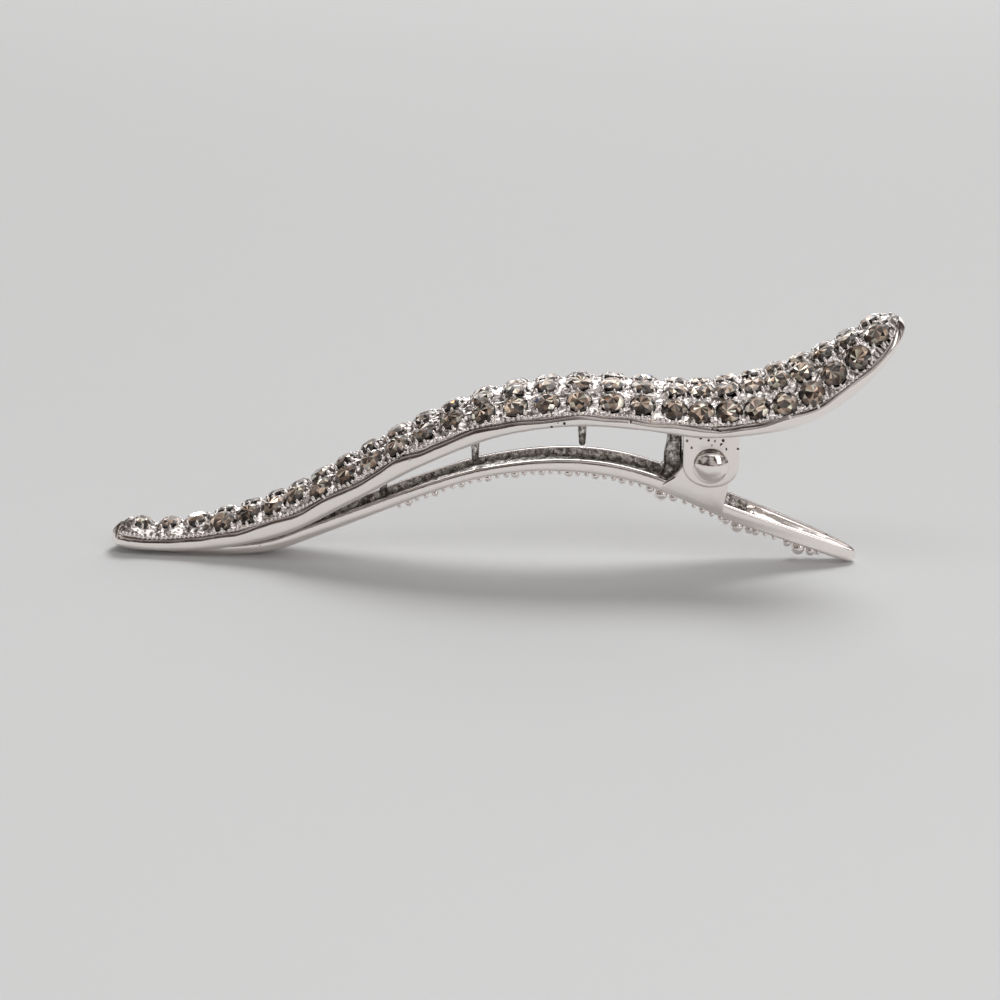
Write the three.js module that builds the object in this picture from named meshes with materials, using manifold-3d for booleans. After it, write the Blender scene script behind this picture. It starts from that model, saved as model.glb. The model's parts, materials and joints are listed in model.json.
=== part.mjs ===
// A pave beak clip for hair: a long S-curved upper jaw set with round stones, riveted over a
// narrow cast lower jaw. A torsion spring on the rivet pushes the thumb grips apart, which
// keeps the nose shut.
//
// Millimetres. The nose points along -X, the thumb grips along +X, the rivet lies along Y and
// +Z is up, with the clip shut. All places below are measured from the centre of the rivet.
// The finished clip is moved, so that its origin is the middle of the flat under its nose.

import * as THREE from "three";
import { mergeVertices } from "three/addons/utils/BufferGeometryUtils.js";
import Module from "manifold-3d";

const wasm = await Module();
wasm.setup();

// ---------------------------------------------------------------- driving dimensions

const TABLE = -11.6; // height of the surface that the shut clip stands on
const NOSE_FLAT_X = -54.5; // middle of the flat under the nose

// The upper jaw is a domed shell. Its spine is the middle of its lower edge, as x and height.
const UPPER_SPINE = [
  [-64.6, -10.3],
  [-63.0, -10.8],
  [-59.5, -11.0],
  [-55.0, -10.8],
  [-50.0, -10.0],
  [-44.5, -8.3],
  [-38.0, -4.75],
  [-30.0, -0.2],
  [-22.0, 3.2],
  [-14.0, 4.55],
  [-7.0, 4.3],
  [-1.0, 3.7],
  [5.0, 4.5],
  [10.0, 6.3],
  [14.0, 8.8],
  [17.4, 11.9],
  [19.9, 15.0],
];
// Half the shell's width, its height over the spine and its roll in degrees, each at some x.
const UPPER_HALF_WIDTH = [
  [-64.6, 0.9],
  [-64.0, 1.6],
  [-62.5, 2.1],
  [-60.0, 2.35],
  [-52.0, 3.0],
  [-44.0, 3.8],
  [-34.0, 4.75],
  [-24.0, 5.6],
  [-14.0, 6.0],
  [-3.0, 6.05],
  [4.0, 5.95],
  [9.0, 5.6],
  [13.0, 4.8],
  [16.5, 3.8],
  [19.0, 2.45],
  [19.9, 1.0],
];
const UPPER_HEIGHT = [
  [-64.6, 1.4],
  [-64.0, 2.2],
  [-60.0, 2.0],
  [-55.0, 2.45],
  [-48.0, 3.0],
  [-38.0, 3.2],
  [-22.0, 3.35],
  [-14.0, 3.35],
  [-6.0, 3.4],
  [2.0, 3.9],
  [9.0, 3.9],
  [14.0, 3.5],
  [18.0, 2.5],
  [19.9, 1.4],
];
const UPPER_ROLL = [
  [-64.6, 0],
  [-3.0, 0],
  [4.0, 3],
  [10.0, 10],
  [15.0, 13],
  [19.9, 14],
];
// Height of the plain band round the shell's edge, at some x.
const RIM_BAND = [
  [-64.6, 1.2],
  [-58.0, 1.4],
  [-50.0, 1.65],
  [-40.0, 1.7],
  [-30.0, 1.65],
  [-23.0, 1.35],
  [-16.0, 1.0],
  [-1.0, 1.05],
  [9.5, 1.25],
  [15.0, 1.0],
  [19.9, 0.8],
];
const RIM_STEP = 0.3; // how far the stone field is set in from the band
const SHELL_WALL = 0.95;
// Where the shell is thin or narrow, its band, step and wall are no more than these shares.
const MOST_BAND_SHARE = 0.55; // of its height
const MOST_STEP_SHARE = 0.2; // of its half width
const MOST_WALL_SHARE = 0.42; // of its half width
const SOLID_TIP = 3; // the hollow fades out over this length at each end
const LEAST_HOLLOW = 0.03; // of the full hollow
const UPPER_STATIONS = 60;
const OUTER_ARCH_STEPS = 10;
const INNER_ARCH_STEPS = 6;

// The lower jaw is an open channel. Its spine is the middle of its underside.
const LOWER_SPINE = [
  [-59.6, -11.3],
  [-57.8, -11.6],
  [-51.0, -11.6],
  [-46.5, -10.9],
  [-42.0, -9.2],
  [-37.2, -7.2],
  [-30.0, -4.2],
  [-24.0, -2.2],
  [-18.0, -1.35],
  [-12.0, -1.6],
  [-7.0, -2.65],
  [-3.0, -4.2],
  [1.0, -6.0],
  [6.0, -8.0],
  [11.0, -9.95],
  [14.4, -11.25],
  [15.6, -11.6],
];
const LOWER_HALF_WIDTH = [
  [-59.6, 0.6],
  [-58.6, 1.15],
  [-56.0, 1.4],
  [-48.0, 1.9],
  [-38.0, 2.4],
  [-26.0, 2.65],
  [-12.0, 2.85],
  [-3.0, 2.9],
  [3.0, 2.7],
  [8.0, 2.15],
  [12.0, 1.5],
  [14.6, 0.95],
  [15.6, 0.5],
];
const LOWER_HEIGHT = [
  [-59.6, 0.6],
  [-57.5, 1.0],
  [-50.0, 1.2],
  [-40.0, 1.35],
  [-22.0, 1.1],
  [-12.0, 1.45],
  [-4.0, 1.4],
  [4.0, 1.5],
  [12.0, 1.55],
  [15.6, 1.3],
];
const CHANNEL_FLOOR = 0.5;
const CHANNEL_WALL = 0.6;
const CHANNEL_CORNER = 0.15; // bevel along the lower edges
const LOWER_STATIONS = 48;

// The hinge. The upper jaw's ears stand outside the lower jaw's.
const PIN_RADIUS = 0.8;
const HOLE_RADIUS = 1.0;
const HEAD_RADIUS = 1.87;
const HEAD_HEIGHT = 0.95;
const UPPER_EAR_OUTSIDE = 4.05;
const UPPER_EAR_THICKNESS = 0.75;
const UPPER_EAR_HALF_LENGTH = 2.95;
const UPPER_EAR_DROP = 2.4; // below the rivet's centre
const UPPER_EAR_TOP = 5.9;
const LOWER_EAR_OUTSIDE = 2.95;
const LOWER_EAR_THICKNESS = 0.75;
const LOWER_EAR_RADIUS = 2.6;

// A rough cast post under the shell, just ahead of the spring, stiffens the two upper ears.
const POST = { front: -4.9, back: -3.1, halfWidth: 1.7, bottom: -2.1, top: 6.9 };
const POST_FOOT = { front: -5.8, height: 1.6 };

// Three teeth hang from the shell and reach down to the channel, each as x and tip height.
const TEETH = [
  [-34.9, -5.1],
  [-25.0, -1.15],
  [-13.6, 0.9],
];
const TOOTH_RADIUS = 0.62;
const TOOTH_TIP_RADIUS = 0.36;
const TOOTH_TIP_LENGTH = 0.2;
const TOOTH_ROOT_DEPTH = 0.38; // into the shell

// The torsion spring, wound on the rivet. Leg angles are above +X.
const WIRE_RADIUS = 0.34;
const COIL_RADIUS = 1.5;
const COIL_LENGTH = 3.2;
const COIL_WHOLE_TURNS = 4;
const GRIP_LEG_ANGLE = 36;
const GRIP_LEG_LENGTH = 7.0;
const FLOOR_LEG_ANGLE = -54;
const FLOOR_LEG_LENGTH = 5.1;

// The stones. Each transverse row is one node: its stones on their film of cement.
const STONE_RADIUS = 1.32;
const STONE_PITCH = 3.165; // along the shell, from row to row
const STONE_PITCH_ACROSS = 2.68; // at least this, from stone to stone
const MOST_PITCH_ACROSS = 3.3;
// From the shell's plain band to the nearest stone's middle, at some x. The tail's margin
// leaves room for a ladder of bars.
const STONE_MARGIN = [
  [-64.6, 1.6],
  [-54.0, 1.6],
  [-50.0, 1.45],
  [-36.0, 1.45],
  [-24.0, 1.7],
  [-2.0, 1.7],
  [6.0, 1.4],
  [13.5, 1.4],
  [16.5, 1.6],
  [19.9, 1.75],
];
const FIRST_ROW_AT = 3.6; // along the spine, from the nose
const STONE_ROWS = 28;
const FULL_STONE_HALF_WIDTH = 2.7; // where the shell is narrower, the stones are smaller
const GIRDLE_HEIGHT = 0.4; // of the stone's widest part over the shell
const TABLE_HEIGHT = 0.75; // of the stone's flat top over the shell
const CULET_RADIUS = 0.75;
const TABLE_RADIUS = 0.75;
const CEMENT_LIFT = 0.1; // keeps the cement off the curved shell
const CEMENT_THICKNESS = 0.2;
const CEMENT_HALF_LENGTH = 0.8;
const MOST_CEMENT_BEND = 0.4; // radians in one facet

// Cast relief along both edges of the lower jaw's underside: blossoms, with beads between them.
const BLOSSOMS = [-5.0, 3.1, 9.7];
const BLOSSOM_RADIUS = 0.8;
const BEADS = { from: -27, to: 12.4, pitch: 2.8, radius: 0.5 };
const RELIEF_DROP = 0.4; // of its radius, how far the middle of a bump is below the floor
const RELIEF_INSET = 0.9; // of its radius, from the jaw's side to the middle of a bump

// ---------------------------------------------------------------- materials

function metal(name, color, roughness) {
  return new THREE.MeshStandardMaterial({ name, color, roughness, metalness: 1 });
}

const rhodium = metal("rhodium_plate", 0xdedad9, 0.12);
const springSteel = metal("spring_steel", 0x8f9092, 0.3);
const smokyStone = new THREE.MeshStandardMaterial({
  name: "smoky_stone",
  color: 0x6b6058,
  roughness: 0.05,
  metalness: 0.2,
});

// ---------------------------------------------------------------- joining and cutting

function solid(geometry) {
  const bare = geometry.clone();
  bare.deleteAttribute("normal");
  bare.deleteAttribute("uv");
  const merged = mergeVertices(bare, 1e-4);
  return new wasm.Manifold(
    new wasm.Mesh({
      numProp: 3,
      vertProperties: merged.attributes.position.array,
      triVerts: new Uint32Array(merged.index.array),
    }),
  );
}

function geometryOf(manifold) {
  const mesh = manifold.getMesh();
  const geometry = new THREE.BufferGeometry();
  geometry.setAttribute("position", new THREE.BufferAttribute(mesh.vertProperties, 3));
  geometry.setIndex(new THREE.BufferAttribute(mesh.triVerts, 1));
  geometry.computeVertexNormals();
  return geometry;
}

function join(solids) {
  return solids.reduce((whole, next) => whole.add(next));
}

// ---------------------------------------------------------------- curves and lofts

// A smooth function of x through a few hand-set pairs.
function profile(pairs) {
  const places = pairs.map(([x]) => x);
  const values = pairs.map(([, value]) => value);
  const curve = new THREE.CubicInterpolant(places, values, 1);
  return (x) => curve.evaluate(THREE.MathUtils.clamp(x, places[0], places.at(-1)))[0];
}

function spineCurve(pairs) {
  const points = pairs.map(([x, z]) => new THREE.Vector3(x, 0, z));
  return new THREE.CatmullRomCurve3(points, false, "centripetal");
}

// A frame on a spine: where it is, which way is across the jaw and which way is up.
function frameAt(spine, share, rollDegrees) {
  const origin = spine.getPointAt(share);
  const along = spine.getTangentAt(share);
  const across = new THREE.Vector3(0, 1, 0);
  const up = new THREE.Vector3().crossVectors(along, across);
  const roll = THREE.MathUtils.degToRad(rollDegrees);
  across.applyAxisAngle(along, roll);
  up.applyAxisAngle(along, roll);
  return { origin, along, across, up };
}

function place(frame, across, up) {
  return frame.origin
    .clone()
    .addScaledVector(frame.across, across)
    .addScaledVector(frame.up, up);
}

// A closed body through matching anticlockwise outlines, one for each frame, capped at the ends.
function loft(frames, outlines) {
  const size = outlines[0].length;
  const positions = [];
  frames.forEach((frame, i) => {
    outlines[i].forEach((point) => positions.push(...place(frame, point.x, point.y).toArray()));
  });
  const faces = [];
  for (let i = 0; i + 1 < frames.length; i += 1) {
    for (let j = 0; j < size; j += 1) {
      const a = i * size + j;
      const b = i * size + ((j + 1) % size);
      faces.push(a, b, a + size, b, b + size, a + size);
    }
  }
  const last = (frames.length - 1) * size;
  THREE.ShapeUtils.triangulateShape(outlines[0], []).forEach(([a, b, c]) => faces.push(a, c, b));
  THREE.ShapeUtils.triangulateShape(outlines.at(-1), []).forEach(([a, b, c]) => {
    faces.push(last + a, last + b, last + c);
  });
  const geometry = new THREE.BufferGeometry();
  geometry.setAttribute("position", new THREE.Float32BufferAttribute(positions, 3));
  geometry.setIndex(faces);
  return solid(geometry);
}

// Height at a distance across, on an arc that spans a chord and rises by a sagitta.
function archHeight(across, halfChord, rise) {
  const radius = (halfChord ** 2 + rise ** 2) / (2 * rise);
  return Math.sqrt(Math.max(radius ** 2 - across ** 2, 0)) - (radius - rise);
}

function arch(halfChord, base, rise, steps) {
  const points = [];
  for (let i = 0; i <= steps; i += 1) {
    const across = -halfChord * Math.cos((Math.PI * i) / steps);
    points.push(new THREE.Vector2(across, base + archHeight(across, halfChord, rise)));
  }
  return points;
}

// A flat plate in the XZ plane, with its middle at a given y.
function plate(shape, thickness, y) {
  const geometry = new THREE.ExtrudeGeometry(shape, {
    depth: thickness,
    bevelEnabled: false,
    curveSegments: 16,
  });
  geometry.translate(0, 0, -thickness / 2);
  geometry.rotateX(Math.PI / 2);
  geometry.translate(0, y, 0);
  return solid(geometry);
}

function bar(radius, halfLength) {
  const geometry = new THREE.CylinderGeometry(radius, radius, 2 * halfLength, 24);
  return solid(geometry);
}

function bump(radius, position) {
  const geometry = new THREE.SphereGeometry(radius, 6, 4);
  geometry.translate(position.x, position.y, position.z);
  return solid(geometry);
}

// ---------------------------------------------------------------- upper jaw

const upperSpine = spineCurve(UPPER_SPINE);
const upperHalfWidth = profile(UPPER_HALF_WIDTH);
const upperHeight = profile(UPPER_HEIGHT);
const upperRoll = profile(UPPER_ROLL);
const rimBand = profile(RIM_BAND);
const stoneMargin = profile(STONE_MARGIN);

const NOSE_X = UPPER_SPINE[0][0];
const TAIL_X = UPPER_SPINE.at(-1)[0];

function upperFrame(share) {
  return frameAt(upperSpine, share, upperRoll(upperSpine.getPointAt(share).x));
}

// The shell's plain band at some x, and the chord of the dome that stands on it.
function sectionAt(x) {
  const halfWidth = upperHalfWidth(x);
  const height = upperHeight(x);
  const band = Math.min(rimBand(x), MOST_BAND_SHARE * height);
  const halfChord = halfWidth - Math.min(RIM_STEP, MOST_STEP_SHARE * halfWidth);
  return { halfWidth, height, band, halfChord, rise: height - band };
}

function shellOutline(x) {
  const { halfWidth, height, band, halfChord, rise } = sectionAt(x);
  const wall = Math.min(SHELL_WALL, MOST_WALL_SHARE * halfWidth);
  const fromTip = Math.min(x - NOSE_X, TAIL_X - x);
  const hollow = THREE.MathUtils.clamp(fromTip / SOLID_TIP, LEAST_HOLLOW, 1);
  const innerBase = (band / 2) * hollow;
  const innerRise = (height - wall) * hollow - innerBase;
  return [
    new THREE.Vector2(-halfWidth, 0),
    new THREE.Vector2(-halfWidth, band),
    ...arch(halfChord, band, rise, OUTER_ARCH_STEPS),
    new THREE.Vector2(halfWidth, band),
    new THREE.Vector2(halfWidth, 0),
    new THREE.Vector2(halfWidth - wall, 0),
    ...arch(halfWidth - wall, innerBase, innerRise, INNER_ARCH_STEPS).reverse(),
    new THREE.Vector2(-halfWidth + wall, 0),
  ].reverse();
}

function shell() {
  const shares = Array.from({ length: UPPER_STATIONS + 1 }, (_, i) => i / UPPER_STATIONS);
  const frames = shares.map(upperFrame);
  return loft(frames, frames.map((frame) => shellOutline(frame.origin.x)));
}

function upperEar(side) {
  const shape = new THREE.Shape();
  shape.moveTo(-UPPER_EAR_HALF_LENGTH, UPPER_EAR_TOP);
  shape.lineTo(-UPPER_EAR_HALF_LENGTH, 0);
  shape.absellipse(0, 0, UPPER_EAR_HALF_LENGTH, UPPER_EAR_DROP, Math.PI, 2 * Math.PI, false, 0);
  shape.lineTo(UPPER_EAR_HALF_LENGTH, UPPER_EAR_TOP);
  return plate(shape, UPPER_EAR_THICKNESS, side * (UPPER_EAR_OUTSIDE - UPPER_EAR_THICKNESS / 2));
}

// The post's foot flares towards the nose.
function post() {
  const shape = new THREE.Shape();
  shape.moveTo(POST.back, POST.top);
  shape.lineTo(POST.front, POST.top);
  shape.lineTo(POST.front, POST.bottom + POST_FOOT.height);
  shape.lineTo(POST_FOOT.front, POST.bottom);
  shape.lineTo(POST.back, POST.bottom);
  return plate(shape, 2 * POST.halfWidth, 0);
}

function tooth([x, tip]) {
  const root = shellRoof(x) + TOOTH_ROOT_DEPTH;
  const outline = [
    new THREE.Vector2(0, tip),
    new THREE.Vector2(TOOTH_TIP_RADIUS, tip + TOOTH_TIP_LENGTH),
    new THREE.Vector2(TOOTH_RADIUS, root),
    new THREE.Vector2(0, root),
  ];
  const geometry = new THREE.LatheGeometry(outline, 12);
  geometry.rotateX(Math.PI / 2);
  geometry.translate(x, 0, 0);
  return solid(geometry);
}

// Height of the shell's inner surface over the middle of the jaw, at some x.
function shellRoof(x) {
  const share = shareAtX(upperSpine, x);
  const frame = upperFrame(share);
  return frame.origin.z + (upperHeight(x) - SHELL_WALL) / frame.up.z;
}

function shareAtX(spine, x) {
  let low = 0;
  let high = 1;
  for (let i = 0; i < 30; i += 1) {
    const middle = (low + high) / 2;
    if (spine.getPointAt(middle).x < x) low = middle;
    else high = middle;
  }
  return low;
}

function upperJaw() {
  const solids = [shell(), upperEar(-1), upperEar(1), post(), ...TEETH.map(tooth)];
  return join(solids).subtract(bar(HOLE_RADIUS, 2 * UPPER_EAR_OUTSIDE));
}

// ---------------------------------------------------------------- lower jaw

const lowerSpine = spineCurve(LOWER_SPINE);
const lowerHalfWidth = profile(LOWER_HALF_WIDTH);
const lowerHeight = profile(LOWER_HEIGHT);

function channelOutline(x) {
  const halfWidth = lowerHalfWidth(x);
  const height = lowerHeight(x);
  const wall = Math.min(CHANNEL_WALL, MOST_WALL_SHARE * halfWidth);
  const floor = Math.min(CHANNEL_FLOOR, height / 2);
  const corner = CHANNEL_CORNER;
  return [
    new THREE.Vector2(-halfWidth, height),
    new THREE.Vector2(-halfWidth, corner),
    new THREE.Vector2(-halfWidth + corner, 0),
    new THREE.Vector2(halfWidth - corner, 0),
    new THREE.Vector2(halfWidth, corner),
    new THREE.Vector2(halfWidth, height),
    new THREE.Vector2(halfWidth - wall, height),
    new THREE.Vector2(halfWidth - wall, floor),
    new THREE.Vector2(-halfWidth + wall, floor),
    new THREE.Vector2(-halfWidth + wall, height),
  ];
}

function channel() {
  const shares = Array.from({ length: LOWER_STATIONS + 1 }, (_, i) => i / LOWER_STATIONS);
  const frames = shares.map((share) => frameAt(lowerSpine, share, 0));
  return loft(frames, frames.map((frame) => channelOutline(frame.origin.x)));
}

// The ear rises from the channel's wall to a round eye, and falls steeply to the thumb grip.
function lowerEar(side) {
  const shape = new THREE.Shape();
  const noseSide = THREE.MathUtils.degToRad(155);
  const gripSide = THREE.MathUtils.degToRad(-35);
  shape.moveTo(-5.2, -3.0);
  shape.lineTo(-5.0, -2.2);
  shape.quadraticCurveTo(
    -3.4,
    -1.6,
    LOWER_EAR_RADIUS * Math.cos(noseSide),
    LOWER_EAR_RADIUS * Math.sin(noseSide),
  );
  shape.absarc(0, 0, LOWER_EAR_RADIUS, noseSide, gripSide, true);
  shape.lineTo(1.5, -4.7);
  shape.lineTo(1.5, -5.8);
  shape.lineTo(-1.5, -4.6);
  return plate(shape, LOWER_EAR_THICKNESS, side * (LOWER_EAR_OUTSIDE - LOWER_EAR_THICKNESS / 2));
}

function reliefAt(x, radius) {
  const frame = frameAt(lowerSpine, shareAtX(lowerSpine, x), 0);
  const across = lowerHalfWidth(x) - RELIEF_INSET * radius;
  return [-across, across].map((side) => bump(radius, place(frame, side, -RELIEF_DROP * radius)));
}

function relief() {
  const beads = [];
  for (let x = BEADS.from; x <= BEADS.to; x += BEADS.pitch) {
    const crowded = BLOSSOMS.some((blossom) => Math.abs(blossom - x) < BLOSSOM_RADIUS);
    if (!crowded) beads.push(...reliefAt(x, BEADS.radius));
  }
  return [...BLOSSOMS.flatMap((x) => reliefAt(x, BLOSSOM_RADIUS)), ...beads];
}

// Everything under the surface that the clip stands on, to trim flat feet.
function underTable() {
  const depth = 10;
  const geometry = new THREE.BoxGeometry(200, 40, depth);
  geometry.translate(0, 0, TABLE - depth / 2);
  return solid(geometry);
}

function lowerJaw() {
  const solids = [channel(), lowerEar(-1), lowerEar(1), ...relief()];
  return join(solids)
    .subtract(bar(HOLE_RADIUS, 2 * LOWER_EAR_OUTSIDE))
    .subtract(underTable());
}

// ---------------------------------------------------------------- hinge

// A plain pin with a domed head formed on each end.
function hingeRivet() {
  const seat = UPPER_EAR_OUTSIDE + 0.1;
  const sphere = (HEAD_RADIUS ** 2 + HEAD_HEIGHT ** 2) / (2 * HEAD_HEIGHT);
  const span = Math.asin(HEAD_RADIUS / sphere);
  const steps = 5;
  const dome = [];
  for (let i = steps; i >= 0; i -= 1) {
    const angle = (span * i) / steps;
    const outwards = seat + HEAD_HEIGHT - sphere * (1 - Math.cos(angle));
    dome.push(new THREE.Vector2(sphere * Math.sin(angle), outwards));
  }
  const half = [new THREE.Vector2(PIN_RADIUS, seat), ...dome];
  const mirrored = half.map((point) => new THREE.Vector2(point.x, -point.y)).reverse();
  return new THREE.LatheGeometry([...mirrored, ...half], 18);
}

// The wire's centre line: a leg along the lower floor, the coil, and a leg under the shell.
class SpringWire extends THREE.Curve {
  constructor() {
    super();
    this.start = THREE.MathUtils.degToRad(FLOOR_LEG_ANGLE - 90);
    const end = THREE.MathUtils.degToRad(GRIP_LEG_ANGLE + 90);
    this.sweep = end - 2 * Math.PI * (COIL_WHOLE_TURNS + 1) - this.start;
    this.coilWire = Math.abs(this.sweep) * COIL_RADIUS;
    this.whole = FLOOR_LEG_LENGTH + this.coilWire + GRIP_LEG_LENGTH;
  }

  coilPoint(share) {
    const angle = this.start + this.sweep * share;
    const y = COIL_LENGTH * (share - 0.5);
    return new THREE.Vector3(COIL_RADIUS * Math.cos(angle), y, COIL_RADIUS * Math.sin(angle));
  }

  leg(point, degrees, length) {
    const angle = THREE.MathUtils.degToRad(degrees);
    return point.add(new THREE.Vector3(Math.cos(angle), 0, Math.sin(angle)).multiplyScalar(length));
  }

  getPoint(t) {
    const run = t * this.whole - FLOOR_LEG_LENGTH;
    if (run < 0) return this.leg(this.coilPoint(0), FLOOR_LEG_ANGLE, -run);
    if (run < this.coilWire) return this.coilPoint(run / this.coilWire);
    return this.leg(this.coilPoint(1), GRIP_LEG_ANGLE, run - this.coilWire);
  }
}

function torsionSpring() {
  const section = new THREE.Shape();
  section.absarc(0, 0, WIRE_RADIUS, 0, 2 * Math.PI, false);
  return new THREE.ExtrudeGeometry(section, {
    steps: 96,
    curveSegments: 3,
    extrudePath: new SpringWire(),
  });
}

// ---------------------------------------------------------------- stones

const spineLength = upperSpine.getLength();

// Radius of the shell's dome at some x, and the height of the dome's centre over the spine.
function domeAt(x) {
  const { height, halfChord, rise } = sectionAt(x);
  const radius = (halfChord ** 2 + rise ** 2) / (2 * rise);
  return { radius, centre: height - radius, halfAngle: Math.asin(Math.min(halfChord / radius, 1)) };
}

// A point over the dome, at a share of the spine and an angle away from the crown.
function domePoint(share, angle) {
  const frame = upperFrame(share);
  const { radius, centre } = domeAt(frame.origin.x);
  return place(frame, radius * Math.sin(angle), centre + radius * Math.cos(angle));
}

// A frame that lies on the dome's surface, found from its neighbours on each side.
function domeFrame(share, angle) {
  const step = 0.002;
  const along = domePoint(share + step, angle).sub(domePoint(share - step, angle)).normalize();
  const sideways = domePoint(share, angle + step).sub(domePoint(share, angle - step));
  const up = new THREE.Vector3().crossVectors(along, sideways).normalize();
  const across = new THREE.Vector3().crossVectors(up, along);
  return { origin: domePoint(share, angle), along, across, up };
}

// A plain six-sided stone: a flat table, a wide girdle and a short foot in the cement.
function stone(frame, size) {
  const foot = CEMENT_LIFT + 0.5 * CEMENT_THICKNESS;
  const outline = [
    new THREE.Vector2(0, foot),
    new THREE.Vector2(CULET_RADIUS * size, foot),
    new THREE.Vector2(STONE_RADIUS * size, GIRDLE_HEIGHT),
    new THREE.Vector2(TABLE_RADIUS * size, TABLE_HEIGHT),
    new THREE.Vector2(0, TABLE_HEIGHT),
  ];
  const geometry = new THREE.LatheGeometry(outline, 6);
  const basis = new THREE.Matrix4().makeBasis(frame.across, frame.up, frame.along);
  geometry.applyMatrix4(basis.setPosition(frame.origin));
  return solid(geometry);
}

// The cement under one row: a thin curved strip that follows the dome.
function cement(share, halfAngle) {
  const steps = 1 + Math.ceil((2 * halfAngle) / MOST_CEMENT_BEND);
  const reach = CEMENT_HALF_LENGTH / spineLength;
  const frames = [share - reach, share + reach].map(upperFrame);
  const outlines = frames.map((frame) => {
    const dome = domeAt(frame.origin.x);
    const outline = [];
    [CEMENT_LIFT, CEMENT_LIFT + CEMENT_THICKNESS].forEach((lift, layer) => {
      for (let i = 0; i <= steps; i += 1) {
        const angle = (layer ? 1 : -1) * halfAngle * (1 - (2 * i) / steps);
        const radius = dome.radius + lift;
        const height = dome.centre + radius * Math.cos(angle);
        outline.push(new THREE.Vector2(radius * Math.sin(angle), height));
      }
    });
    return outline;
  });
  return loft(frames, outlines);
}

// The outer stones of a row sit close to the plain band, and the others share the rest.
function stoneRow(share) {
  const x = upperSpine.getPointAt(share).x;
  const size = Math.min(1, upperHalfWidth(x) / FULL_STONE_HALF_WIDTH);
  const dome = domeAt(x);
  const span = 2 * Math.max(0, dome.halfAngle * dome.radius - stoneMargin(x));
  const spaces = Math.max(0, Math.floor(span / STONE_PITCH_ACROSS));
  const spacing = spaces ? Math.min(span / spaces, MOST_PITCH_ACROSS) / dome.radius : 0;
  const angles = Array.from({ length: spaces + 1 }, (_, i) => (i - spaces / 2) * spacing);
  const stones = angles.map((angle) => stone(domeFrame(share, angle), size));
  const halfAngle = (spaces / 2) * spacing + CULET_RADIUS / dome.radius;
  return join([cement(share, halfAngle), ...stones]);
}

// ---------------------------------------------------------------- assembly

const clip = new THREE.Group();
clip.position.set(-NOSE_FLAT_X, 0, -TABLE);

function addPiece(name, geometry, material) {
  const mesh = new THREE.Mesh(geometry, material);
  mesh.name = name;
  clip.add(mesh);
}

addPiece("upper_jaw", geometryOf(upperJaw()), rhodium);
addPiece("lower_jaw", geometryOf(lowerJaw()), rhodium);
addPiece("hinge_rivet", hingeRivet(), rhodium);
addPiece("torsion_spring", torsionSpring(), springSteel);

for (let row = 0; row < STONE_ROWS; row += 1) {
  const share = (FIRST_ROW_AT + row * STONE_PITCH) / spineLength;
  const name = "stone_row_" + String(row + 1).padStart(2, "0");
  addPiece(name, geometryOf(stoneRow(share)), smokyStone);
}

export default clip;
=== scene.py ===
import json
import math
import random

import bmesh
import bpy
import numpy as np
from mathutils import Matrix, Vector, noise


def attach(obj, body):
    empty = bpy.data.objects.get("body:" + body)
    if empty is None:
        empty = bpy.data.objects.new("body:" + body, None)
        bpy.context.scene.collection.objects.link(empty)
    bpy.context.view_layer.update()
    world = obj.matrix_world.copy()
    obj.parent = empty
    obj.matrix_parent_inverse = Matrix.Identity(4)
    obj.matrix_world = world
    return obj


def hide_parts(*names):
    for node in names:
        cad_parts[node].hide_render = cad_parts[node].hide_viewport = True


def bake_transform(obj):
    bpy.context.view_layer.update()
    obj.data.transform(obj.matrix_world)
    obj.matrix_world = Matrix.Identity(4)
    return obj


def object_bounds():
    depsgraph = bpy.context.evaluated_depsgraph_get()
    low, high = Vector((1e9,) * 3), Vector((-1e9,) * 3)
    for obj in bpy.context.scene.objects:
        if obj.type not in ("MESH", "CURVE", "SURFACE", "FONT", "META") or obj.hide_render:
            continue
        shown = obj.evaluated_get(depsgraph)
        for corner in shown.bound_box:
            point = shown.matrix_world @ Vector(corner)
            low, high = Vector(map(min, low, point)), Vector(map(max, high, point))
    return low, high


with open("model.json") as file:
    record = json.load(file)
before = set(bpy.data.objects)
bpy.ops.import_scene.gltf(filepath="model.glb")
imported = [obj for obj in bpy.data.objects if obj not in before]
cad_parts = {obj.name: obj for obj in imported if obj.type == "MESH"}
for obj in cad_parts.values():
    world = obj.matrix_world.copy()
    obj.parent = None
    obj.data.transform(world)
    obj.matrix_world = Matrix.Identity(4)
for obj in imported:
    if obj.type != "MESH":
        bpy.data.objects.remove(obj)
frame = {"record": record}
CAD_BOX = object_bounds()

# A pave beak clip for hair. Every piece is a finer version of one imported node, built from the
# same driving dimensions, in millimetres from the centre of the hinge rivet.

MM = 0.001
HINGE = np.array(frame["record"]["behaviour"]["joints"][0]["pos_m"])
TABLE = (CAD_BOX[0].z - HINGE[2]) / MM  # height of the floor

# ---------------------------------------------------------------- driving dimensions

# The upper jaw is a domed shell. Its spine is the middle of its lower edge, as x and height.
UPPER_SPINE = [
    (-64.6, -10.3), (-63, -10.8), (-59.5, -11), (-55, -10.8), (-50, -10), (-44.5, -8.3),
    (-38, -4.75), (-30, -0.2), (-22, 3.2), (-14, 4.55), (-7, 4.3), (-1, 3.7), (5, 4.5),
    (10, 6.3), (14, 8.8), (17.4, 11.9), (19.9, 15),
]
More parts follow.
